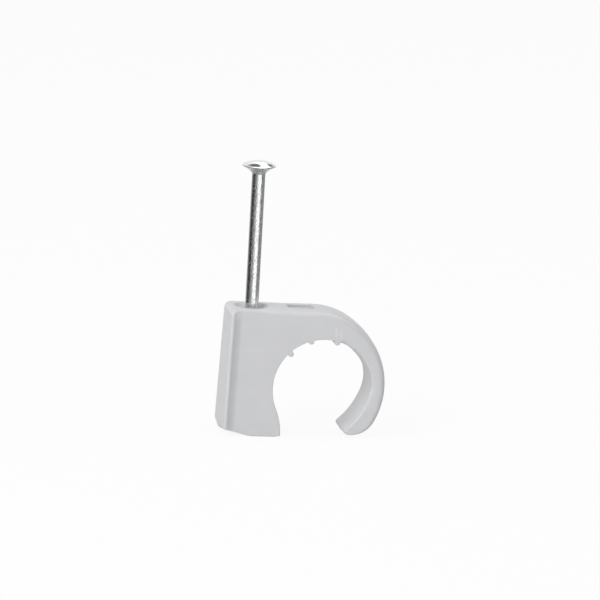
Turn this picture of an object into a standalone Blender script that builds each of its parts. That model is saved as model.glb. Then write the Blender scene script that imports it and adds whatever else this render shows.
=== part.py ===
"""A nail-in clip for one round cable: a moulded clip body and its steel nail.

X runs across the clip from the nail end to the claw, Y through its depth and
Z up, away from the wall. The origin is on the wall plane, under the middle of
the clip. Lengths are in metres and angles in degrees. Inside the functions the
body is laid out from its nail end at X = 0, and moved to the origin at the end.
"""

from math import acos, asin, atan2, ceil, cos, degrees, pi, radians, sin, sqrt, tan

import bmesh
import bpy
from mathutils import Vector

# Cable bore, and the material to its left and above it
BORE_RADIUS = 0.00761
BORE_HEIGHT = 0.00726
WAIST = 0.00725
ROOF_THICKNESS = 0.0042
BODY_HEIGHT = BORE_HEIGHT + BORE_RADIUS + ROOF_THICKNESS

# Depth of the body, and its nail end
DEPTH_AT_WALL = 0.0089
DEPTH_AT_TOP = 0.0078
END_LEAN = 0.0005
END_TOP_RADIUS = 0.001
END_FOOT_RADIUS = 0.0003

# End lip, proud of both faces, with a hollow run-out onto them
LIP_WIDTH = 0.0004
LIP_PROUD = 0.00028
LIP_RUN_OUT = 0.0015
LIP_STEPS = 6
LIP_STEP_CURVE = 1.5

# Base: a relieved nail end, the flat seat and a small toe at the mouth
BASE_END_RISE = 0.00102
BASE_RELIEF_LENGTH = 0.00405
BASE_BLEND_RADIUS = 0.0045
TOE_RISE = 0.0001
TOE_LENGTH = 0.0009
TOE_CORNER_RADIUS = 0.00015

# Side of the mouth, which rises from the base on an arc that runs into the bore
MOUTH_BLEND_RADIUS = 0.0098
MOUTH_FOOT_HEIGHT = 0.0003

# Grip ribs in the roof of the bore, as (angle, height) from the nail side to the claw
RIBS = ((133.9, 0.00068), (105.9, 0.00048), (75.6, 0.00057))
RIB_RADIUS = 0.00043

# Claw: two inner arcs after the bore, then shoulder, flank and heel outside and a round nose
CLAW_INNER_RADIUS = 0.0058
CLAW_INNER_START_ANGLE = 31.0
CLAW_REACH_START_ANGLE = -18.0
CLAW_THICKNESS = 0.00208
FLANK_START_ANGLE = 44.0
FLANK_RADIUS = 0.01135
FLANK_RISE = 0.00072
HEEL_RADIUS = 0.0039
CLAW_WALL_GAP = 0.00051
NOSE_RADIUS = 0.0004
NOSE_ANGLE = -100.5

# Side walls, as (edge width on the face, edge depth down the side, swell at mid-depth)
FOOT_SIDE = (0.00018, 0.00018, 0.0005)
BASE_SIDE = (0.00012, 0.00012, 0.0)
BORE_SIDE = (0.00012, 0.00012, 0.0003)
CLAW_INNER_SIDE = (0.0009, 0.0003, 0.0003)
NOSE_SIDE = (0.00015, 0.00015, 0.0001)
FLANK_SIDE = (0.0007, 0.0006, 0.00015)
TOP_SIDE = (0.0009, 0.0009, 0.0001)
END_SIDE = (0.0003, 0.0003, 0.00015)
TOP_EDGE_START = 0.0035
TOP_EDGE_FULL = 0.0085
CLAW_INNER_EDGE_START_ANGLE = 73.0
CLAW_INNER_EDGE_RAMP = 3.0
EDGE_STEPS = 4

# Shallow bare panel in the top
PANEL_LENGTH = 0.004
PANEL_WIDTH = 0.0028
PANEL_DEPTH = 0.00025
PANEL_CORNER_RADIUS = 0.0003
PANEL_OFFSET = 0.0074

# Nail
NAIL_X = 0.00404
NAIL_LENGTH = 0.040
NAIL_TIP_LIFT = 0.0012
SHANK_RADIUS = 0.001
POINT_LENGTH = 0.0024
POINT_RADIUS = 0.00012
HEAD_RADIUS = 0.0025
HEAD_RIM = 0.00015
HEAD_DOME = 0.0007
HEAD_CONE = 0.00115
HEAD_STEPS = 6
HEAD_CONE_CURVE = 1.6
NAIL_SIDES = 40

# Nail hole
HOLE_CLEARANCE = 0.0001
SINK_CLEARANCE = 0.00005
SINK_DEPTH = 0.0016

# Finishes
PLASTIC_COLOUR = (0.60, 0.60, 0.615)
PLASTIC_ROUGHNESS = 0.42
ZINC_COLOUR = (0.78, 0.79, 0.80)
ZINC_ROUGHNESS = 0.25

# Curves are cut into straight pieces that stay this close to them
CHORD_ERROR = 0.000004
MERGE_DISTANCE = 0.0000001
CUT_MARGIN = 0.001
SHARP_ANGLE = 28


def on_circle(centre, radius, angle):
    """Point of the XZ plane on a circle, as (x, z)."""
    return centre + radius * Vector((cos(radians(angle)), sin(radians(angle))))


def arc(centre, radius, start, end):
    """Points along an arc of the XZ plane, both ends included."""
    step = 2 * degrees(acos(1 - CHORD_ERROR / radius))
    count = max(2, ceil(abs(end - start) / step))
    return [on_circle(centre, radius, start + (end - start) * i / count) for i in range(count + 1)]


def angle_of(vector):
    return degrees(atan2(vector.y, vector.x))


def bore_centre():
    return Vector((WAIST + BORE_RADIUS, BORE_HEIGHT))


def mouth_centre():
    """Centre of the arc that rises from the base and touches the bore from outside."""
    down = BORE_HEIGHT - MOUTH_FOOT_HEIGHT
    across = sqrt((BORE_RADIUS + MOUTH_BLEND_RADIUS) ** 2 - down ** 2)
    return bore_centre() - Vector((across, down))


def base_runs():
    """Bottom edge from the nail end to the mouth."""
    relief_angle = degrees(atan2(BASE_END_RISE, BASE_RELIEF_LENGTH))
    seat_start = BASE_RELIEF_LENGTH + BASE_BLEND_RADIUS * tan(radians(relief_angle / 2))
    base_width = mouth_centre().x + MOUTH_BLEND_RADIUS
    blend = arc(Vector((seat_start, BASE_BLEND_RADIUS)), BASE_BLEND_RADIUS, -90 - relief_angle, -90)
    corner_turn = 90 - relief_angle
    corner_reach = END_FOOT_RADIUS * tan(radians(corner_turn / 2))
    corner_centre = Vector((END_FOOT_RADIUS, BASE_END_RISE + corner_reach))
    corner = arc(corner_centre, END_FOOT_RADIUS, -180, -180 + corner_turn)
    toe_centre = Vector((base_width - TOE_CORNER_RADIUS, TOE_RISE + TOE_CORNER_RADIUS))
    toe = [Vector((base_width - TOE_LENGTH, 0))] + arc(toe_centre, TOE_CORNER_RADIUS, -90, 0)
    return [(corner, END_SIDE, FOOT_SIDE), (blend, BASE_SIDE, BASE_SIDE), (toe, BASE_SIDE, BASE_SIDE)]


def mouth_run():
    """Side of the mouth, rounded into the bore, and the bore angle where it ends."""
    centre = mouth_centre()
    touch = angle_of(bore_centre() - centre)
    return (arc(centre, MOUTH_BLEND_RADIUS, 0, touch), BASE_SIDE, BORE_SIDE), 180 + touch


def rib(angle, height):
    """Round nose of one rib, and half the bore angle that it covers."""
    reach = BORE_RADIUS - height + RIB_RADIUS
    cosine = (BORE_RADIUS ** 2 + reach ** 2 - RIB_RADIUS ** 2) / (2 * BORE_RADIUS * reach)
    half_width = degrees(acos(cosine))
    foot = on_circle(Vector((0, 0)), BORE_RADIUS, half_width) - Vector((reach, 0))
    spread = angle_of(foot)
    centre = on_circle(bore_centre(), reach, angle)
    return arc(centre, RIB_RADIUS, angle + spread, angle + 360 - spread), half_width


def bore_runs(start):
    """Bore from the mouth over the roof, with its ribs, to the start of the claw."""
    centre = bore_centre()
    runs = []
    angle = start
    for rib_angle, rib_height in RIBS:
        nose, half_width = rib(rib_angle, rib_height)
        runs.append((arc(centre, BORE_RADIUS, angle, rib_angle + half_width), BORE_SIDE, BORE_SIDE))
        runs.append((nose, BORE_SIDE, BORE_SIDE))
        angle = rib_angle - half_width
    edge_start = min(CLAW_INNER_EDGE_START_ANGLE, angle)
    edge_full = edge_start - CLAW_INNER_EDGE_RAMP
    claw_start = arc(centre, BORE_RADIUS, edge_full, CLAW_INNER_START_ANGLE)
    runs.append((arc(centre, BORE_RADIUS, angle, edge_start), BORE_SIDE, BORE_SIDE))
    runs.append((arc(centre, BORE_RADIUS, edge_start, edge_full), BORE_SIDE, CLAW_INNER_SIDE))
    runs.append((claw_start, CLAW_INNER_SIDE, CLAW_INNER_SIDE))
    return runs


def claw_layout():
    """Centres, radii and touching angles of the claw's arcs."""
    inner = on_circle(bore_centre(), BORE_RADIUS - CLAW_INNER_RADIUS, CLAW_INNER_START_ANGLE)
    flank = Vector((inner.x + CLAW_INNER_RADIUS + CLAW_THICKNESS - FLANK_RADIUS, BORE_HEIGHT + FLANK_RISE))
    # The shoulder touches the flank where that starts, and the flat top
    shoulder_end = on_circle(flank, FLANK_RADIUS, FLANK_START_ANGLE)
    shoulder_radius = (BODY_HEIGHT - shoulder_end.y) / (1 - sin(radians(FLANK_START_ANGLE)))
    shoulder = on_circle(shoulder_end, -shoulder_radius, FLANK_START_ANGLE)
    # The heel touches the flank and keeps its gap to the wall
    heel_z = CLAW_WALL_GAP + HEEL_RADIUS
    heel_angle = degrees(asin((heel_z - flank.y) / (FLANK_RADIUS - HEEL_RADIUS)))
    heel = on_circle(flank, FLANK_RADIUS - HEEL_RADIUS, heel_angle)
    nose = on_circle(heel, HEEL_RADIUS - NOSE_RADIUS, NOSE_ANGLE)
    # The last inner arc leaves the first one at a set angle and touches the nose
    away = on_circle(Vector((0, 0)), 1, CLAW_REACH_START_ANGLE)
    offset = nose - inner
    joint = CLAW_INNER_RADIUS + NOSE_RADIUS
    growth = (joint ** 2 - offset.length_squared) / (2 * (offset.dot(away) - joint))
    reach = (inner - growth * away, CLAW_INNER_RADIUS + growth)
    return inner, (shoulder, shoulder_radius), flank, (heel, heel_angle), nose, reach


def claw_runs():
    """Claw from the bore round its nose and back up the outside to the top."""
    inner, (shoulder, shoulder_radius), flank, (heel, heel_angle), nose, (reach, reach_radius) = claw_layout()
    nose_start = angle_of(nose - reach)
    first_inner = arc(inner, CLAW_INNER_RADIUS, CLAW_INNER_START_ANGLE, CLAW_REACH_START_ANGLE)
    return [
        (first_inner, CLAW_INNER_SIDE, CLAW_INNER_SIDE),
        (arc(reach, reach_radius, CLAW_REACH_START_ANGLE, nose_start), CLAW_INNER_SIDE, NOSE_SIDE),
        (arc(nose, NOSE_RADIUS, nose_start + 180, NOSE_ANGLE + 360), NOSE_SIDE, NOSE_SIDE),
        (arc(heel, HEEL_RADIUS, NOSE_ANGLE, heel_angle), NOSE_SIDE, FLANK_SIDE),
        (arc(flank, FLANK_RADIUS, heel_angle, FLANK_START_ANGLE), FLANK_SIDE, TOP_SIDE),
        (arc(shoulder, shoulder_radius, FLANK_START_ANGLE, 90), TOP_SIDE, TOP_SIDE),
    ]


def top_runs():
    """Flat top back to the nail end, and its corner."""
    corner_centre = Vector((END_LEAN + END_TOP_RADIUS, BODY_HEIGHT - END_TOP_RADIUS))
    ramp = [Vector((TOP_EDGE_FULL, BODY_HEIGHT)), Vector((TOP_EDGE_START, BODY_HEIGHT))]
    return [
        (ramp, TOP_SIDE, END_SIDE),
        (arc(corner_centre, END_TOP_RADIUS, 90, 180), END_SIDE, END_SIDE),
    ]


def body_outline():
    """Closed outline seen from the front, anticlockwise, as (point, width, depth, swell)."""
    mouth, bore_start = mouth_run()
    runs = base_runs() + [mouth] + bore_runs(bore_start) + claw_runs() + top_runs()
    outline = []
    for points, first, last in runs:
        for i, point in enumerate(points):
            if outline and (point - outline[-1][0]).length < CHORD_ERROR:
                continue
            share = i / (len(points) - 1)
            outline.append((point, *(a + (b - a) * share for a, b in zip(first, last))))
    return outline


def half_depth(z):
    """Half the depth of the body at a height: both faces draw in towards the top."""
    return (DEPTH_AT_WALL + (DEPTH_AT_TOP - DEPTH_AT_WALL) * z / BODY_HEIGHT) / 2


def inward(outline, i):
    """Unit step of the outline's inset at one point, mitred at a corner."""
    before, here, after = (outline[j % len(outline)][0] for j in (i - 1, i, i + 1))
    edge_in = (here - before).normalized()
    edge_out = (after - here).normalized()
    normal_in = Vector((-edge_in.y, edge_in.x))
    normal_out = Vector((-edge_out.y, edge_out.x))
    return (normal_in + normal_out) / (1 + normal_in.dot(normal_out))


def ring(mesh, outline, side, turn):
    """One loop of the rounded edge: turn 0 is on the face, 90 on the side wall."""
    loop = []
    for i, (point, width, depth, _) in enumerate(outline):
        x, z = point + inward(outline, i) * width * (1 - sin(radians(turn)))
        y = half_depth(z) - depth * (1 - cos(radians(turn)))
        loop.append(mesh.verts.new((x, side * y, z)))
    return loop


def middle_ring(mesh, outline):
    """Loop at mid-depth, where the drafted side walls meet, with gaps along the flat seat.

    The tips of the ribs stay straight.
    """
    centre = bore_centre()
    loop = []
    for i, (point, _, _, swell) in enumerate(outline):
        if not any(outline[j % len(outline)][3] for j in (i - 1, i, i + 1)):
            loop.append(None)
            continue
        step = -inward(outline, i) * swell
        spoke = point - centre
        if spoke.length < BORE_RADIUS + CHORD_ERROR and not -90 < angle_of(spoke) < CLAW_INNER_START_ANGLE:
            step = -spoke * max(0, 1 - (BORE_RADIUS - swell) / spoke.length)
        x, z = point + step
        loop.append(mesh.verts.new((x, 0, z)))
    return loop


def side_walls(mesh, outline, front, middle, back):
    """Walls between the two rounded edges, in two drafted halves or flat right across."""
    for i in range(len(outline)):
        j = (i + 1) % len(outline)
        if outline[i][3] or outline[j][3]:
            mesh.faces.new((front[i], middle[i], middle[j], front[j]))
            mesh.faces.new((middle[i], back[i], back[j], middle[j]))
        else:
            loop = (front[i], middle[i], back[i], back[j], middle[j], front[j])
            mesh.faces.new([vert for vert in loop if vert])


def rounded_slab(outline):
    """Body between its two faces, with rounded edges and drafted side walls all round."""
    mesh = bmesh.new()
    turns = [90 * i / EDGE_STEPS for i in range(EDGE_STEPS + 1)]
    front = [ring(mesh, outline, -1, turn) for turn in turns]
    back = [ring(mesh, outline, 1, turn) for turn in reversed(turns)]
    for rings in (front, back):
        for near, far in zip(rings, rings[1:]):
            for i in range(len(near)):
                j = (i + 1) % len(near)
                mesh.faces.new((near[i], far[i], far[j], near[j]))
    side_walls(mesh, outline, front[-1], middle_ring(mesh, outline), back[0])
    mesh.faces.new(front[0])
    mesh.faces.new(reversed(back[-1]))
    return mesh


def flare_end(mesh):
    """Push both faces out to the end lip, with a hollow run-out."""
    lean = END_LEAN / BODY_HEIGHT
    cuts = [LIP_WIDTH + LIP_RUN_OUT * (i / LIP_STEPS) ** LIP_STEP_CURVE for i in range(LIP_STEPS + 1)]
    for x in cuts:
        geometry = mesh.verts[:] + mesh.edges[:] + mesh.faces[:]
        bmesh.ops.bisect_plane(mesh, geom=geometry, plane_co=(x, 0, 0), plane_no=(1, 0, -lean),
                               dist=MERGE_DISTANCE)
    for vert in mesh.verts:
        along = (vert.co.x - lean * vert.co.z - LIP_WIDTH) / LIP_RUN_OUT
        fade = (1 - min(max(along, 0), 1)) ** 2
        vert.co.y += LIP_PROUD * fade * vert.co.y / half_depth(vert.co.z)


def material(name, colour, roughness, metallic):
    made = bpy.data.materials.new(name)
    made.use_nodes = True
    shader = made.node_tree.nodes["Principled BSDF"]
    shader.inputs["Base Color"].default_value = (*colour, 1)
    shader.inputs["Roughness"].default_value = roughness
    shader.inputs["Metallic"].default_value = metallic
    return made


def add_object(name, mesh):
    """Object from a bmesh, shaded smooth but for its sharp edges."""
    bmesh.ops.recalc_face_normals(mesh, faces=mesh.faces[:])
    data = bpy.data.meshes.new(name)
    mesh.to_mesh(data)
    mesh.free()
    data.shade_smooth()
    data.set_sharp_from_angle(angle=radians(SHARP_ANGLE))
    made = bpy.data.objects.new(name, data)
    bpy.context.scene.collection.objects.link(made)
    return made


def turned(profile, sides):
    """Solid of revolution about Z from (radius, z) points that start and end on the axis."""
    mesh = bmesh.new()
    verts = [mesh.verts.new((radius, 0, z)) for radius, z in profile]
    edges = [mesh.edges.new(pair) for pair in zip(verts, verts[1:])]
    bmesh.ops.spin(mesh, geom=verts + edges, axis=(0, 0, 1), cent=(0, 0, 0), angle=2 * pi,
                   steps=sides, use_merge=True)
    bmesh.ops.remove_doubles(mesh, verts=mesh.verts[:], dist=MERGE_DISTANCE)
    return mesh


def sink_profile():
    """Countersink and nail hole, from above the top face to below the wall plane."""
    hole = SHANK_RADIUS + HOLE_CLEARANCE
    rim = HEAD_RADIUS + SINK_CLEARANCE
    above = BODY_HEIGHT + CUT_MARGIN
    wide = rim + (rim - hole) * CUT_MARGIN / SINK_DEPTH
    below = -CUT_MARGIN
    return [(0, above), (wide, above), (hole, BODY_HEIGHT - SINK_DEPTH), (hole, below), (0, below)]


def nail_profile():
    """Nail from its point to the top of its domed head, with Z = 0 at the point."""
    rim_top = NAIL_LENGTH - HEAD_DOME
    rim_bottom = rim_top - HEAD_RIM
    neck = rim_bottom - HEAD_CONE
    point = [(0, 0), (POINT_RADIUS, POINT_RADIUS), (SHANK_RADIUS, POINT_LENGTH)]
    shares = [i / HEAD_STEPS for i in range(HEAD_STEPS + 1)]
    overhang = HEAD_RADIUS - SHANK_RADIUS
    cone = [(SHANK_RADIUS + overhang * share ** HEAD_CONE_CURVE, neck + HEAD_CONE * share)
            for share in shares]
    dome_radius = (HEAD_RADIUS ** 2 + HEAD_DOME ** 2) / (2 * HEAD_DOME)
    opening = asin(HEAD_RADIUS / dome_radius)
    dome = [(dome_radius * sin(opening * share), NAIL_LENGTH - dome_radius * (1 - cos(opening * share)))
            for share in reversed(shares)]
    return point + cone + dome


def panel_cutter():
    """Rounded rectangle that sinks the bare panel into the top."""
    mesh = bmesh.new()
    half_x = PANEL_LENGTH / 2 - PANEL_CORNER_RADIUS
    half_y = PANEL_WIDTH / 2 - PANEL_CORNER_RADIUS
    corners = ((half_x, half_y, 0), (-half_x, half_y, 90), (-half_x, -half_y, 180), (half_x, -half_y, 270))
    points = [point for x, y, start in corners
              for point in arc(Vector((x, y)), PANEL_CORNER_RADIUS, start, start + 90)]
    floor = [mesh.verts.new((x, y, -PANEL_DEPTH)) for x, y in points]
    face = mesh.faces.new(floor)
    raised = bmesh.ops.extrude_face_region(mesh, geom=[face])["geom"]
    lifted = [item for item in raised if isinstance(item, bmesh.types.BMVert)]
    bmesh.ops.translate(mesh, verts=lifted, vec=(0, 0, PANEL_DEPTH + CUT_MARGIN))
    return mesh


def cut(body, cutter):
    """Cut one hidden object out of the body."""
    cutter.hide_render = True
    cutter.display_type = "WIRE"
    cutter.parent = body
    modifier = body.modifiers.new(cutter.name, "BOOLEAN")
    modifier.operation = "DIFFERENCE"
    modifier.solver = "EXACT"
    modifier.object = cutter


def build_body():
    """Clip body, and how far its nail end lies to the left of the origin."""
    mesh = rounded_slab(body_outline())
    flare_end(mesh)
    reach = [vert.co.x for vert in mesh.verts]
    nail_end = (min(reach) + max(reach)) / 2
    body = add_object("clip_body", mesh)
    body.data.materials.append(material("moulded_grey", PLASTIC_COLOUR, PLASTIC_ROUGHNESS, 0.0))
    body.location.x = -nail_end
    hole = add_object("nail_hole_cutter", turned(sink_profile(), NAIL_SIDES))
    hole.location.x = NAIL_X
    cut(body, hole)
    panel = add_object("panel_cutter", panel_cutter())
    panel.location = (NAIL_X + PANEL_OFFSET, 0, BODY_HEIGHT)
    cut(body, panel)
    return nail_end


def build_nail(nail_end):
    nail = add_object("nail", turned(nail_profile(), NAIL_SIDES))
    nail.data.materials.append(material("zinc_steel", ZINC_COLOUR, ZINC_ROUGHNESS, 1.0))
    nail.location = (NAIL_X - nail_end, 0, NAIL_TIP_LIFT)


def main():
    for old in list(bpy.data.objects):
        bpy.data.objects.remove(old)
    build_nail(build_body())


main()
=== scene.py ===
"""Dresses the nail-in cable clip: its moulded body, its nail, and a plain studio.

Every length is in metres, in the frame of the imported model.
"""

from math import asin, cos, radians, sin

import bmesh
import bpy
from bpy.props import FloatProperty, FloatVectorProperty, IntProperty, PointerProperty
from bpy.types import Operator, Panel, PropertyGroup
from mathutils import Matrix, Vector


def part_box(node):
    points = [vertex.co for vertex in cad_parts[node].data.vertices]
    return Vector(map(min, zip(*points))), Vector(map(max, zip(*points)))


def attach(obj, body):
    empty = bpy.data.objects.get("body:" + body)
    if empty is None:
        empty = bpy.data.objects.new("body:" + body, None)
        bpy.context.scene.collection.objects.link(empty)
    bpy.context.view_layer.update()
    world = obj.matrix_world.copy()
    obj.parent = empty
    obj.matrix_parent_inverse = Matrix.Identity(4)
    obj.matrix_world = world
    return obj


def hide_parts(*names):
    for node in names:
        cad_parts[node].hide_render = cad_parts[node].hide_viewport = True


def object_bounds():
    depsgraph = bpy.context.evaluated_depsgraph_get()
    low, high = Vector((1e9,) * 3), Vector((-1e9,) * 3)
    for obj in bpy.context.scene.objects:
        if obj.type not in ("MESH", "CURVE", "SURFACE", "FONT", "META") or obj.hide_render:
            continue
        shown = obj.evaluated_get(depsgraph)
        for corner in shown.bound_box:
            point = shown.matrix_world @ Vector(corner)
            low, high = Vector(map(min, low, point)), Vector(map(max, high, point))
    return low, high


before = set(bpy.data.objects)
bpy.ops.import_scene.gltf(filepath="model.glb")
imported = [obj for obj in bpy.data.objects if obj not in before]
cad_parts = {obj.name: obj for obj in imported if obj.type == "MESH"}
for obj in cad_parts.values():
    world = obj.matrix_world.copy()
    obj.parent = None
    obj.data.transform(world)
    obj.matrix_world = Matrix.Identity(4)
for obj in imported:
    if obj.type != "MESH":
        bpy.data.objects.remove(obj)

CAD_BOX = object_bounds()
NAIL_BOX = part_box("nail")

bl_info = {
    "name": "Cable clip",
    "version": (1, 0, 0),
    "blender": (4, 5, 0),
    "location": "3D View > Sidebar > Cable clip",
    "description": "Builds the visible body, nail and studio of a nail-in cable clip",
    "category": "Object",
}

# Two short pale lines in the front face, lighter and slightly rougher, as (across, height, half length)
PALE_LINES = ((0.0044, 0.0160, 0.0010), (0.0051, 0.0158, 0.0009))
PALE_LINE_HALF_WIDTH = 0.00022
PALE_LINE_WOBBLE = 0.0003
# Distances in front of the clip's middle between which they come in
PALE_LINE_DEPTH = (0.0032, 0.0036)

# Painted shade, a darker colour in the hollow beside the end lip: the lean of the end wall, then its soft
# edges, as (start, full)
END_WALL_LEAN = 0.0262
HOLLOW_NEAR_EDGE = (0.0006, 0.0008)
HOLLOW_FAR_EDGE = (0.0012, 0.0021)
HOLLOW_DEPTH = (0.0034, 0.0038)
HOLLOW_TOP = (0.0172, 0.0182)

# Heights between which the mottled shank gives way to the smoother head
HEAD_START = (0.0393, 0.0401)

# Level of what the nail mirrors all round, as (share of a turn from straight behind, by the left, level)
SOFTBOXES = (
    (0.00, 0.75), (0.12, 0.46), (0.17, 0.30), (0.205, 0.045), (0.335, 0.045), (0.375, 0.30),
    (0.45, 0.36), (0.49, 0.75), (0.525, 1.45), (0.62, 1.45), (0.66, 0.70), (0.69, 0.10),
    (0.76, 0.34), (0.87, 0.27), (1.00, 0.75),
)

# Dark flags mirrored in the head, as (turn from the camera, height angle, angular radius)
FLAGS = ((-142, 60, 27), (-100, 50, 30), (152, 34, 14))

# Soft round lamps, as (name, turn round the clip, height angle, share of the light)
LAMPS = (
    ("left_low", -70, 5, 0.17),
    ("left_front", -40, 5, 0.10),
    ("key", -40, 35, 0.28),
    ("left_high", -80, 60, 0.14),
    ("back_right", 110, 35, 0.14),
    ("over_right", 60, 65, 0.05),
)


# Sizes and colours

class ClipBodySettings(PropertyGroup):
    """Finish of the moulded body"""
    colour: FloatVectorProperty(
        name="Plastic colour", description="Base colour of the moulded plastic",
        subtype="COLOR", size=3, min=0, max=1, default=(0.575, 0.578, 0.592))
    roughness: FloatProperty(
        name="Roughness", description="Roughness of the satin moulded surface",
        subtype="FACTOR", min=0, max=1, default=0.36)
    grain_height: FloatProperty(
        name="Grain height", description="Height of the fine grain of the mould",
        subtype="DISTANCE", unit="LENGTH", default=0.000006)
    rim_bevel: FloatProperty(
        name="Rim bevel", description="Rounding of the rims of the nail hole and the panel",
        subtype="DISTANCE", unit="LENGTH", default=0.00006)
    rim_angle: FloatProperty(
        name="Rim angle", description="Angle from which a rim is rounded",
        subtype="ANGLE", unit="ROTATION", default=radians(42))
    crease_angle: FloatProperty(
        name="Crease angle", description="Angle from which an edge looks crisp",
        subtype="ANGLE", unit="ROTATION", default=radians(40))
    weld: FloatProperty(
        name="Weld distance", description="How near two corners are joined",
        subtype="DISTANCE", unit="LENGTH", default=0.0000005)


class NailSettings(PropertyGroup):
    """Sizes and finish of the nail"""
    colour: FloatVectorProperty(
        name="Zinc colour", description="Base colour of the bright zinc coat",
        subtype="COLOR", size=3, min=0, max=1, default=(0.78, 0.79, 0.80))
    roughness: FloatProperty(
        name="Roughness", description="Roughness of the bright zinc coat",
        subtype="FACTOR", min=0, max=1, default=0.11)
    mottle_height: FloatProperty(
        name="Mottle height", description="Height of the fine unevenness of the coat",
        subtype="DISTANCE", unit="LENGTH", default=0.00004)
    shank_radius: FloatProperty(
        name="Shank radius", description="Radius of the round shank",
        subtype="DISTANCE", unit="LENGTH", default=0.001)
    point_length: FloatProperty(
        name="Point length", description="Length of the tapered point",
        subtype="DISTANCE", unit="LENGTH", default=0.0024)
    tip_radius: FloatProperty(
        name="Tip radius", description="Radius at the blunted end of the point",
        subtype="DISTANCE", unit="LENGTH", default=0.00012)
    head_dome: FloatProperty(
        name="Dome height", description="Rise of the domed top of the head over its rim",
        subtype="DISTANCE", unit="LENGTH", default=0.0007)
    head_rim: FloatProperty(
        name="Rim height", description="Height of the rounded rim of the head",
        subtype="DISTANCE", unit="LENGTH", default=0.00022)
    head_cone: FloatProperty(
        name="Cone height", description="Height of the cone under the head",
        subtype="DISTANCE", unit="LENGTH", default=0.00115)
    cone_hollow: FloatProperty(
        name="Cone hollow", description="How hollow the cone is: 1 is straight", min=1, default=1.6)
    crease_angle: FloatProperty(
        name="Crease angle", description="Angle from which an edge looks crisp",
        subtype="ANGLE", unit="ROTATION", default=radians(50))
    sides: IntProperty(name="Sides", description="Sides of the turned nail", min=12, max=200, default=96)
    weld: FloatProperty(
        name="Weld distance", description="How near two corners of the turned nail are joined",
        subtype="DISTANCE", unit="LENGTH", default=0.000001)


class StageSettings(PropertyGroup):
    """Camera, lights and floor"""
    azimuth: FloatProperty(
        name="Azimuth", description="Camera's turn round the clip, from straight in front",
        subtype="ANGLE", unit="ROTATION", default=radians(-9.2))
    elevation: FloatProperty(
        name="Elevation", description="Camera's height angle",
        subtype="ANGLE", unit="ROTATION", default=radians(10.2))
    roll: FloatProperty(
        name="Roll", description="Camera's turn about its own axis",
        subtype="ANGLE", unit="ROTATION", default=radians(3.12))
    aim: FloatVectorProperty(
        name="Aim", description="Middle of the view, right of the frame's origin and above it",
        size=2, unit="LENGTH", default=(0.0003, 0.0198))
    frame_width: FloatProperty(
        name="Frame width", description="Width of the view at the clip",
        subtype="DISTANCE", unit="LENGTH", default=0.0902)
    distance: FloatProperty(
        name="Camera distance", description="Distance from the camera to the clip",
        subtype="DISTANCE", unit="LENGTH", default=1.5)
    ambient: FloatProperty(name="Ambient", description="Level of the soft light all round", default=0.44)
    overhead: FloatProperty(
        name="Overhead", description="Level of the softbox overhead, in shiny surfaces", default=2.4)
    behind: FloatProperty(
        name="Behind", description="Level of the white wall behind, in shiny surfaces", default=0.95)
    below: FloatProperty(
        name="Below", description="Level of the grey ground, in shiny surfaces", default=0.38)
    lamps: FloatProperty(
        name="Lamps", description="Power that the soft lamps share out", subtype="POWER", default=7.5)
    lamp_distance: FloatProperty(
        name="Lamp distance", description="Distance from each lamp to the clip",
        subtype="DISTANCE", unit="LENGTH", default=0.8)
    lamp_width: FloatProperty(
        name="Lamp width", description="Width of each round lamp",
        subtype="DISTANCE", unit="LENGTH", default=0.30)
    floor_reach: FloatProperty(
        name="Floor reach", description="How far the floor runs to each side",
        subtype="DISTANCE", unit="LENGTH", default=3)
    floor_gap: FloatProperty(
        name="Floor gap", description="Gap between the clip and the floor",
        subtype="DISTANCE", unit="LENGTH", default=0.00005)
    floor_white: FloatProperty(
        name="Floor white", description="How far the floor stays plain white to the camera",
        subtype="FACTOR", min=0, max=1, default=0.92)


# Nodes

class Value:
    """A socket whose maths is written as a Python expression."""

    def __init__(self, tree, socket):
        self.tree = tree
        self.socket = socket

    def __add__(self, other):
        return self.tree.math("ADD", self, other)

    def __sub__(self, other):
        return self.tree.math("SUBTRACT", self, other)

    def __rsub__(self, other):
        return self.tree.math("SUBTRACT", other, self)

    def __mul__(self, other):
        return self.tree.math("MULTIPLY", self, other)

    def __truediv__(self, other):
        return self.tree.math("DIVIDE", self, other)

    def __abs__(self):
        return self.tree.math("ABSOLUTE", self)

    __radd__ = __add__
    __rmul__ = __mul__


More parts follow.
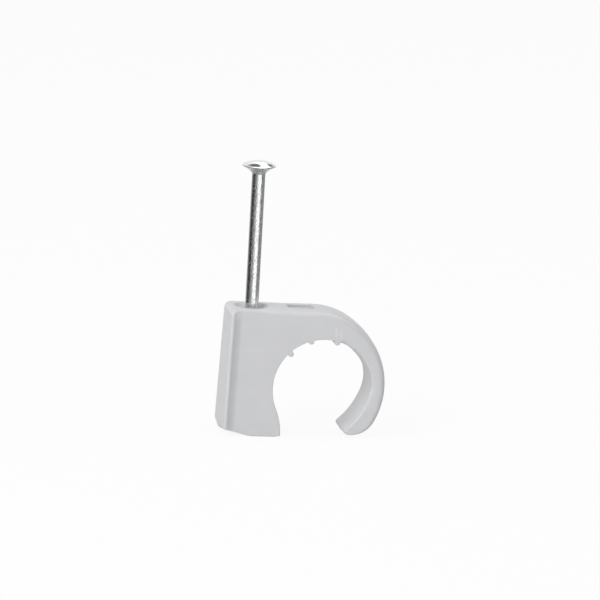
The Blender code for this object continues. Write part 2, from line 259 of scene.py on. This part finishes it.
class Nodes:
    """A node tree that is built by calls."""

    def __init__(self, tree):
        self.tree = tree
        tree.nodes.clear()

    def node(self, kind, settings=None, values=None):
        """Adds a node, makes its settings, then sets or links its sockets."""
        made = self.tree.nodes.new(kind)
        for name, setting in (settings or {}).items():
            if name == "stops":
                self.set_stops(made.color_ramp.elements, setting)
            else:
                setattr(made, name, setting)
        for name, value in (values or {}).items():
            self.feed(made.inputs[name], value)
        return made

    def set_stops(self, elements, stops):
        """Gives a ramp its stops, as (place, grey level)."""
        while len(elements) < len(stops):
            elements.new(1)
        for element, (place, grey) in zip(elements, stops):
            element.position = place
            element.color = (grey, grey, grey, 1)

    def feed(self, socket, value):
        """Links a socket to a value or another socket, or sets it to a constant."""
        if isinstance(value, Value):
            value = value.socket
        if isinstance(value, bpy.types.NodeSocket):
            self.tree.links.new(value, socket)
        else:
            socket.default_value = value

    def out(self, kind, settings=None, values=None, output=0):
        """Adds a node and returns one of its outputs as a value."""
        return Value(self, self.node(kind, settings, values).outputs[output])

    def math(self, operation, *values):
        return self.out("ShaderNodeMath", {"operation": operation}, dict(enumerate(values)))

    def blend(self, low, high, factor):
        """Between two values, by a factor."""
        return low + (high - low) * factor

    def mixed(self, factor, colour, dark, light):
        """A colour between its darker and its lighter level, by a factor."""
        low, high = ((*(min(level * part, 1) for part in colour), 1) for level in (dark, light))
        made = self.node("ShaderNodeMix", {"data_type": "RGBA", "clamp_factor": True}, {
            "Factor": factor, 6: low, 7: high})
        return made.outputs[2]

    def parts(self, vector):
        """Its X, Y and Z, by name."""
        outputs = self.node("ShaderNodeSeparateXYZ", None, {0: vector}).outputs
        return {name: Value(self, outputs[name]) for name in "XYZ"}

    def ramped(self, value, low, high):
        """0 below low, 1 above high, with a smooth rise between."""
        return self.out("ShaderNodeMapRange", {"interpolation_type": "SMOOTHSTEP"},
                        {"Value": value, "From Min": low, "From Max": high})

    def band(self, value, middle, half_width):
        """1 at the middle of a band and 0 outside it, with soft sides."""
        return 1 - self.ramped(abs(value - middle), half_width * 0.4, half_width)

    def place(self):
        """Place on the piece, in its object coordinates."""
        return self.node("ShaderNodeTexCoord").outputs["Object"]

    def noise(self, across, upwards, detail=2.0, roughness=0.5):
        """Noise with so many waves to the metre, across the piece and up it."""
        stretched = self.node("ShaderNodeMapping", None, {
            "Vector": self.place(), "Scale": (across, across, upwards)})
        return self.out("ShaderNodeTexNoise", None, {
            "Vector": stretched.outputs["Vector"], "Scale": 1.0, "Detail": detail, "Roughness": roughness})


def new_material(name):
    """A material and the nodes of its empty tree."""
    material = bpy.data.materials.new(name)
    material.use_nodes = True
    return material, Nodes(material.node_tree)


def moulded_plastic(settings):
    """Satin light grey plastic: grain of the mould, faint flow marks, two short pale lines, and painted shade
    in the hollow beside the end lip.
    """
    material, nodes = new_material("moulded_grey_plastic")
    grain = nodes.noise(5200, 5200, 3.0, 0.6)
    cloud = nodes.noise(260, 200)
    flow = nodes.noise(160, 900)
    pale_marks = pale_line_mask(nodes)
    mottle = (cloud - 0.5) * 0.3 + (flow - 0.5) * 0.2 + (grain - 0.5) * 0.15
    # The hollow beside the end lip is painted darker in the colour, as shade.
    tint = mottle + 0.5 + pale_marks * 0.5 - lip_painted_shade(nodes) * 0.48
    bump = nodes.node("ShaderNodeBump", None, {
        "Strength": 0.6, "Distance": settings.grain_height, "Height": grain + flow * 0.6 - pale_marks * 1.5})
    shader = nodes.node("ShaderNodeBsdfPrincipled", None, {
        "Base Color": nodes.mixed(tint, settings.colour, 0.88, 1.12),
        "Roughness": settings.roughness + (grain - 0.5) * 0.12 + (cloud - 0.5) * 0.1 + pale_marks * 0.1,
        "Normal": bump.outputs["Normal"],
        "IOR": 1.53,
    })
    nodes.node("ShaderNodeOutputMaterial", None, {"Surface": shader.outputs["BSDF"]})
    return material


def lip_painted_shade(nodes):
    """1 in the hollow beside the end lip, on both faces, where the colour is darkened as painted shade."""
    parts = nodes.parts(nodes.place())
    from_end = parts["X"] - CAD_BOX[0].x - parts["Z"] * END_WALL_LEAN
    near = nodes.ramped(from_end, *HOLLOW_NEAR_EDGE)
    far = nodes.ramped(from_end, *HOLLOW_FAR_EDGE)
    faces = nodes.ramped(abs(parts["Y"]), *HOLLOW_DEPTH)
    top = nodes.ramped(parts["Z"], *HOLLOW_TOP)
    return near * (1 - far) * faces * (1 - top)


def pale_line_mask(nodes):
    """Two short pale lines in the front face, side by side over the rib nearest the claw."""
    parts = nodes.parts(nodes.place())
    across = parts["X"] + (nodes.noise(2600, 2600) - 0.5) * PALE_LINE_WOBBLE
    marks = 0
    for x, z, half_length in PALE_LINES:
        marks = marks + nodes.band(across, x, PALE_LINE_HALF_WIDTH) * nodes.band(parts["Z"], z, half_length)
    front = nodes.ramped(parts["Y"] * -1, *PALE_LINE_DEPTH)
    return marks * front * nodes.ramped(nodes.noise(3800, 3800), 0.3, 0.6)


def bright_zinc(settings):
    """Bright zinc coat on drawn wire: finely mottled, with marks along the nail and small dull pits."""
    material, nodes = new_material("bright_zinc")
    drawn = nodes.noise(6800, 900, 3.0, 0.62)
    mottle = nodes.noise(4200, 2200, 3.0, 0.6)
    head = nodes.ramped(nodes.parts(nodes.place())["Z"], *HEAD_START)
    uneven = 1 - head * 0.6
    pits = nodes.ramped(nodes.noise(5200, 3600), 0.52, 0.64) * uneven
    tint = nodes.ramped(drawn * 0.5 + mottle * 0.5, 0.34, 0.62) * uneven + head * 0.42 - pits * 0.55
    bump = nodes.node("ShaderNodeBump", None, {
        "Strength": 1.0, "Distance": settings.mottle_height,
        "Height": (drawn * 0.4 + mottle * 0.6 - pits * 0.2) * uneven})
    shader = nodes.node("ShaderNodeBsdfPrincipled", None, {
        "Base Color": nodes.mixed(tint, settings.colour, 0.70, 1.22),
        "Metallic": 1.0,
        "Roughness": settings.roughness + (mottle - 0.5) * 0.12 + pits * 0.15,
        "Normal": bump.outputs["Normal"],
    })
    nodes.node("ShaderNodeOutputMaterial", None, {"Surface": shader.outputs["BSDF"]})
    return material


# Pieces

def add_object(scene, name, data):
    """Puts a new object in the scene."""
    made = bpy.data.objects.new(name, data)
    scene.collection.objects.link(made)
    return made


def finish_piece(piece, material, node):
    """Gives a finished piece its material and its place in the frame."""
    piece.data.materials.clear()
    piece.data.materials.append(material)
    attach(piece, "root")
    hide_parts(node)


def evaluated_mesh(piece):
    """Mesh of an object with its modifiers applied."""
    bpy.context.view_layer.update()
    evaluated = piece.evaluated_get(bpy.context.evaluated_depsgraph_get())
    mesh = bpy.data.meshes.new_from_object(evaluated)
    if not mesh.polygons:
        raise RuntimeError(f"{piece.name} came out empty")
    piece.modifiers.clear()
    return mesh


def body_mesh(settings):
    """Smooth copy of the body's mesh, with its corners joined and its crisp edges marked."""
    mesh = bmesh.new()
    mesh.from_mesh(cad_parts["clip_body"].data)
    bmesh.ops.remove_doubles(mesh, verts=mesh.verts[:], dist=settings.weld)
    data = bpy.data.meshes.new("clip_shell")
    mesh.to_mesh(data)
    mesh.free()
    data.materials.clear()
    for name in ("custom_normal", "sharp_edge", "sharp_face"):
        if name in data.attributes:
            data.attributes.remove(data.attributes[name])
    data.shade_smooth()
    data.set_sharp_from_angle(angle=settings.crease_angle)
    return data


class CLIP_OT_body(Operator):
    """Make the moulded body"""
    bl_idname = "clip.body"
    bl_label = "Moulded body"

    def execute(self, context):
        settings = context.scene.clip_body_settings
        piece = add_object(context.scene, "clip_shell", body_mesh(settings))
        bevel = piece.modifiers.new("rims", "BEVEL")
        bevel.limit_method = "ANGLE"
        bevel.angle_limit = settings.rim_angle
        bevel.width = settings.rim_bevel
        bevel.segments = 2
        normals = piece.modifiers.new("normals", "WEIGHTED_NORMAL")
        normals.keep_sharp = True
        piece.data = evaluated_mesh(piece)
        finish_piece(piece, moulded_plastic(settings), "clip_body")
        return {"FINISHED"}


def steps(count):
    """Even steps up to 1, without 0."""
    return [i / count for i in range(1, count + 1)]


def nail_section(settings):
    """Half section of the nail from the top of its head to its point, as (radius, height)."""
    low, high = NAIL_BOX
    shank = settings.shank_radius
    head_radius = (high.x - low.x) / 2
    rim_round = settings.head_rim / 2
    rim_centre = head_radius - rim_round
    rim_height = high.z - settings.head_dome - rim_round
    neck = rim_height - rim_round - settings.head_cone
    shoulder = low.z + settings.point_length
    tip = settings.tip_radius

    dome_radius = (head_radius ** 2 + settings.head_dome ** 2) / (2 * settings.head_dome)
    opening = asin(rim_centre / dome_radius)
    section = [(0, high.z)]
    section += [(dome_radius * sin(opening * t), high.z - dome_radius * (1 - cos(opening * t)))
                for t in steps(24)]
    drop = section[-1][1] - rim_height
    section += [(rim_centre + rim_round * sin(radians(a)), rim_height + drop * cos(radians(a)))
                for a in range(15, 91, 15)]
    section += [(rim_centre + rim_round * cos(radians(a)), rim_height - rim_round * sin(radians(a)))
                for a in range(15, 61, 15)]
    edge, under = section[-1]
    section += [(shank + (edge - shank) * (1 - t) ** settings.cone_hollow, under + (neck - under) * t)
                for t in steps(14)]
    section += [(shank, neck + (shoulder - neck) * t) for t in steps(30)]
    section += [(shank + (tip - shank) * t, shoulder + (low.z + tip * 0.6 - shoulder) * t) for t in steps(8)]
    section += [(tip * 0.7, low.z + tip * 0.2), (0, low.z)]
    return section


def turning_tree():
    """Turns a half section, given as a curve in XZ, about the Z axis."""
    tree = bpy.data.node_groups.new("turn_section", "GeometryNodeTree")
    for name, kind in (("Section", "Geometry"), ("Sides", "Int"), ("Weld Distance", "Float"),
                       ("Material", "Material")):
        tree.interface.new_socket(name, in_out="INPUT", socket_type="NodeSocket" + kind)
    tree.interface.new_socket("Turned", in_out="OUTPUT", socket_type="NodeSocketGeometry")
    nodes = Nodes(tree)
    given = nodes.node("NodeGroupInput").outputs
    size = nodes.node("GeometryNodeAttributeDomainSize", {"component": "CURVE"}, {
        "Geometry": given["Section"]})
    rows = Value(nodes, size.outputs["Point Count"])
    sides = Value(nodes, given["Sides"])
    grid = nodes.node("GeometryNodeMeshGrid", None, {"Vertices X": sides + 1, "Vertices Y": rows})
    index = nodes.out("GeometryNodeInputIndex")
    column = nodes.math("FLOOR", (index + 0.5) / rows)
    position = nodes.node("GeometryNodeInputPosition").outputs["Position"]
    sampled = nodes.node("GeometryNodeSampleIndex", {"data_type": "FLOAT_VECTOR", "domain": "POINT"}, {
        "Geometry": given["Section"], "Value": position, "Index": index - column * rows})
    parts = nodes.parts(sampled.outputs["Value"])
    turn = column / sides * radians(360)
    turned = nodes.node("ShaderNodeCombineXYZ", None, {
        "X": parts["X"] * nodes.math("COSINE", turn), "Y": parts["X"] * nodes.math("SINE", turn),
        "Z": parts["Z"]})
    shaped = nodes.node("GeometryNodeSetPosition", None, {
        "Geometry": grid.outputs["Mesh"], "Position": turned.outputs["Vector"]})
    welded = nodes.node("GeometryNodeMergeByDistance", None, {
        "Geometry": shaped.outputs["Geometry"], "Distance": given["Weld Distance"]})
    smooth = nodes.node("GeometryNodeSetShadeSmooth", None, {"Geometry": welded.outputs["Geometry"]})
    realized = nodes.node("GeometryNodeRealizeInstances", None, {"Geometry": smooth.outputs["Geometry"]})
    coated = nodes.node("GeometryNodeSetMaterial", None, {
        "Geometry": realized.outputs["Geometry"], "Material": given["Material"]})
    nodes.node("NodeGroupOutput", None, {"Turned": coated.outputs["Geometry"]})
    return tree


def section_curve(section):
    """A half section as a curve in XZ."""
    curve = bpy.data.curves.new("nail_section", "CURVE")
    curve.dimensions = "3D"
    spline = curve.splines.new("POLY")
    spline.points.add(len(section) - 1)
    for point, (radius, height) in zip(spline.points, section):
        point.co = (radius, 0, height, 1)
    return curve


def turned_mesh(drawn, material, settings):
    """Mesh of a drawn half section, turned about the Z axis."""
    tree = turning_tree()
    modifier = drawn.modifiers.new("turn", "NODES")
    modifier.node_group = tree
    keys = {item.name: item.identifier for item in tree.interface.items_tree if item.in_out == "INPUT"}
    modifier[keys["Sides"]] = settings.sides
    modifier[keys["Weld Distance"]] = settings.weld
    modifier[keys["Material"]] = material
    return evaluated_mesh(drawn)


def stand_in_hole(turned):
    """Moves a turned mesh from the origin to the nail's place, with its faces outwards."""
    low, high = NAIL_BOX
    mesh = bmesh.new()
    mesh.from_mesh(turned)
    bmesh.ops.translate(mesh, verts=mesh.verts[:], vec=((low.x + high.x) / 2, (low.y + high.y) / 2, 0))
    bmesh.ops.recalc_face_normals(mesh, faces=mesh.faces[:])
    mesh.to_mesh(turned)
    mesh.free()


class CLIP_OT_nail(Operator):
    """Turn the nail from its half section"""
    bl_idname = "clip.nail"
    bl_label = "Nail"

    def execute(self, context):
        settings = context.scene.clip_nail_settings
        material = bright_zinc(settings)
        drawn = add_object(context.scene, "nail_section", section_curve(nail_section(settings)))
        turned = turned_mesh(drawn, material, settings)
        bpy.data.objects.remove(drawn)
        stand_in_hole(turned)
        turned.set_sharp_from_angle(angle=settings.crease_angle)
        piece = add_object(context.scene, "nail_turned", turned)
        finish_piece(piece, material, "nail")
        return {"FINISHED"}


# Studio

def direction(turn, height):
    """Unit vector from the clip, turned round it from straight in front and raised."""
    return Vector((sin(turn) * cos(height), -cos(turn) * cos(height), sin(height)))


def camera_turn(settings):
    """Rotation of the camera, with its roll."""
    turn = direction(settings.azimuth, settings.elevation).to_track_quat("Z", "Y").to_matrix()
    return turn @ Matrix.Rotation(settings.roll, 3, "Z")


def add_lamp(scene, name, toward, power, settings):
    """Round soft lamp that points at the clip and isn't mirrored in the metal."""
    light = bpy.data.lights.new(name, "AREA")
    light.shape = "DISK"
    light.size = settings.lamp_width
    light.energy = power
    lamp = add_object(scene, name, light)
    lamp.location = toward * settings.lamp_distance
    lamp.rotation_euler = toward.to_track_quat("Z", "Y").to_euler()
    lamp.visible_glossy = False


def mirrored_level(nodes, looking, settings):
    """Level of what shiny surfaces mirror in a direction: softboxes with darker gaps between them.

    The turn is a share of a whole one, from the camera, and z is the sine of the height angle.
    """
    parts = nodes.parts(looking)
    z = parts["Z"]
    turn = nodes.math("ARCTAN2", parts["X"], parts["Y"] * -1) / radians(360) - settings.azimuth / radians(360)
    turn = nodes.math("WRAP", turn, 0.5, -0.5)
    level = nodes.out("ShaderNodeValToRGB", {"stops": SOFTBOXES}, {"Fac": turn + 0.5})
    raised = 0.7 + nodes.band(turn, -0.18, 0.2) * 0.9
    level = nodes.blend(level, raised, nodes.ramped(z, 0.0, 0.2))
    behind = nodes.ramped(abs(turn), 0.32, 0.38) * nodes.ramped(z, -0.07, 0.05)
    level = nodes.blend(level, settings.behind, behind)
    level = nodes.blend(level, settings.overhead, nodes.ramped(z, 0.5, 0.75))
    for flag_turn, height, radius in FLAGS:
        toward = direction(settings.azimuth + radians(flag_turn), radians(height))
        near = nodes.out("ShaderNodeVectorMath", {"operation": "DOT_PRODUCT"}, {
            0: looking, 1: toward}, "Value")
        flag = nodes.ramped(near, cos(radians(radius)), cos(radians(radius * 0.7)))
        level = level * (1 - flag * 0.93)
    return nodes.blend(level, settings.below, nodes.ramped(z * -1, 0.5, 0.75))


def studio_world(settings):
    """Soft light all round, white to the camera, with softboxes in what shiny surfaces mirror."""
    world = bpy.data.worlds.new("studio")
    world.use_nodes = True
    nodes = Nodes(world.node_tree)
    looking = nodes.node("ShaderNodeTexCoord").outputs["Generated"]
    level = mirrored_level(nodes, looking, settings)
    path = nodes.node("ShaderNodeLightPath").outputs
    strength = nodes.blend(settings.ambient, level, Value(nodes, path["Is Glossy Ray"]))
    strength = nodes.blend(strength, 1, Value(nodes, path["Is Camera Ray"]))
    background = nodes.node("ShaderNodeBackground", None, {"Color": (1, 1, 1, 1), "Strength": strength})
    nodes.node("ShaderNodeOutputWorld", None, {"Surface": background.outputs["Background"]})
    return world


def white_paper(settings):
    """White paper that stays white to the camera and keeps a soft shadow."""
    material, nodes = new_material("white_paper")
    paper = nodes.node("ShaderNodeBsdfDiffuse", None, {"Color": (0.86, 0.86, 0.86, 1)})
    white = nodes.node("ShaderNodeEmission", None, {"Color": (1, 1, 1, 1), "Strength": 1.0})
    camera = Value(nodes, nodes.node("ShaderNodeLightPath").outputs["Is Camera Ray"])
    mixed = nodes.node("ShaderNodeMixShader", None, {
        0: camera * settings.floor_white, 1: paper.outputs["BSDF"], 2: white.outputs["Emission"]})
    nodes.node("ShaderNodeOutputMaterial", None, {"Surface": mixed.outputs["Shader"]})
    return material


def add_floor(scene, settings):
    """Plain floor just under the clip."""
    mesh = bmesh.new()
    bmesh.ops.create_grid(mesh, x_segments=1, y_segments=1, size=settings.floor_reach)
    data = bpy.data.meshes.new("floor")
    mesh.to_mesh(data)
    mesh.free()
    data.materials.append(white_paper(settings))
    floor = add_object(scene, "floor", data)
    floor.location.z = -settings.floor_gap
    floor.visible_glossy = False


def add_camera(scene, settings):
    """Distant camera that looks at the clip."""
    data = bpy.data.cameras.new("camera")
    data.lens = data.sensor_width * settings.distance / settings.frame_width
    camera = add_object(scene, "camera", data)
    turn = camera_turn(settings)
    centre = turn @ Vector((*settings.aim, settings.distance))
    camera.matrix_world = Matrix.Translation(centre) @ turn.to_4x4()
    scene.camera = camera


class CLIP_OT_stage(Operator):
    """Set up the floor, the lights and the camera"""
    bl_idname = "clip.stage"
    bl_label = "Studio"

    def execute(self, context):
        settings = context.scene.clip_stage_settings
        scene = context.scene
        scene.world = studio_world(settings)
        scene.view_settings.view_transform = "Standard"
        add_floor(scene, settings)
        for name, turn, height, share in LAMPS:
            add_lamp(scene, name, direction(radians(turn), radians(height)), share * settings.lamps, settings)
        add_camera(scene, settings)
        return {"FINISHED"}


class CLIP_PT_panel(Panel):
    """Pieces and settings of the clip"""
    bl_idname = "CLIP_PT_panel"
    bl_label = "Cable clip"
    bl_space_type = "VIEW_3D"
    bl_region_type = "UI"
    bl_category = "Cable clip"

    def draw(self, context):
        for operator, name in ((CLIP_OT_body, "clip_body_settings"), (CLIP_OT_nail, "clip_nail_settings"),
                               (CLIP_OT_stage, "clip_stage_settings")):
            box = self.layout.box()
            box.operator(operator.bl_idname)
            settings = getattr(context.scene, name)
            for key in settings.bl_rna.properties.keys():
                if key not in ("rna_type", "name"):
                    box.prop(settings, key)


CLASSES = (ClipBodySettings, NailSettings, StageSettings,
           CLIP_OT_body, CLIP_OT_nail, CLIP_OT_stage, CLIP_PT_panel)


def register():
    for cls in CLASSES:
        bpy.utils.register_class(cls)
    bpy.types.Scene.clip_body_settings = PointerProperty(type=ClipBodySettings)
    bpy.types.Scene.clip_nail_settings = PointerProperty(type=NailSettings)
    bpy.types.Scene.clip_stage_settings = PointerProperty(type=StageSettings)


def unregister():
    del bpy.types.Scene.clip_stage_settings
    del bpy.types.Scene.clip_nail_settings
    del bpy.types.Scene.clip_body_settings
    for cls in reversed(CLASSES):
        bpy.utils.unregister_class(cls)


def main():
    register()
    bpy.ops.clip.stage()
    bpy.ops.clip.body()
    bpy.ops.clip.nail()


if __name__ == "__main__":
    main()
